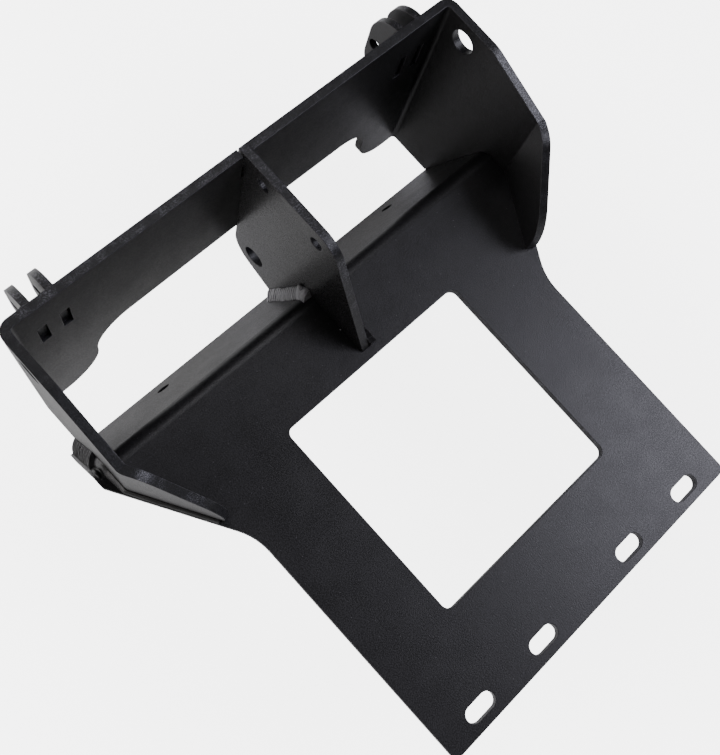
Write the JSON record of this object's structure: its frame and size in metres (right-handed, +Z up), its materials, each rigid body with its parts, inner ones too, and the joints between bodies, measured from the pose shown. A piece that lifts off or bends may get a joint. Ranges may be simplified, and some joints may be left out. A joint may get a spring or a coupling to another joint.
{
  "type": "plow mounting plate",
  "caption": "Black welded steel mount: slotted base plate with a square window and bent front flange, wrap-around bracket with pin holes, centre gusset and clevis ears.",
  "frame": {"origin": "centre of the slot line on the base plate's upper face", "axes": "+X to the right along the slot line, +Y from the slots towards the front plate and its clevis ears, +Z up out of the base plate's upper face"},
  "size_m": [0.3904, 0.403, 0.1826],
  "materials": {
    "black_coat": "satin black powder coat over steel plate",
    "weld_coat": "satin black powder coat over weld beads"
  },
  "bodies": {
    "root": {"base_plate": "black_coat", "wrap_bracket": "black_coat", "centre_gusset": "black_coat", "ear_outer_left": "black_coat", "ear_inner_left": "black_coat", "ear_inner_right": "black_coat", "ear_outer_right": "black_coat", "arm_beads_left": "weld_coat", "arm_beads_right": "weld_coat", "gusset_beads": "weld_coat", "ear_beads": "weld_coat"}
  },
  "joints": []
}
